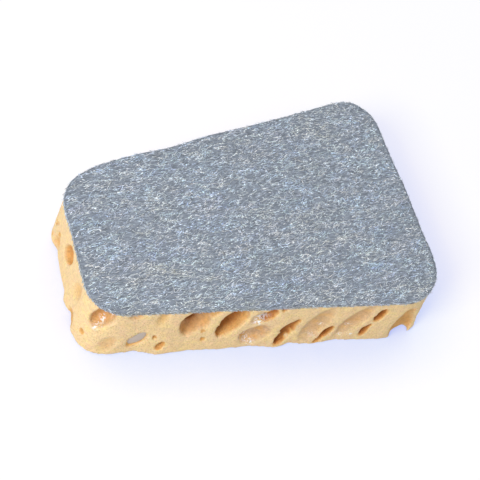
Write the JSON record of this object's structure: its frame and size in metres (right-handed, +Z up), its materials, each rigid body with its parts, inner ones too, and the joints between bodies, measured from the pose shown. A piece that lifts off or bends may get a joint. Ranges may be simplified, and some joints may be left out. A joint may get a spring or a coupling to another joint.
{
  "type": "aquarium cleaning sponge",
  "caption": "Tapered hand sponge for wiping fish tank glass: coarse foam block with rounded corners and leaning pores, topped by a flat scouring fleece pad.",
  "frame": {"origin": "middle of the bounding box, on the plane that the foam's underside rests on", "axes": "+X towards the wide end, +Z up through the scouring pad, +Y across the block"},
  "size_m": [0.113, 0.0778, 0.027],
  "materials": {
    "foam": "matt pale yellow open foam with darker orange pore insides",
    "fleece": "grey-blue nonwoven fibre, slightly glossy fibres"
  },
  "bodies": {
    "root": {"sponge_body": "foam", "scouring_pad": "fleece"}
  },
  "joints": []
}
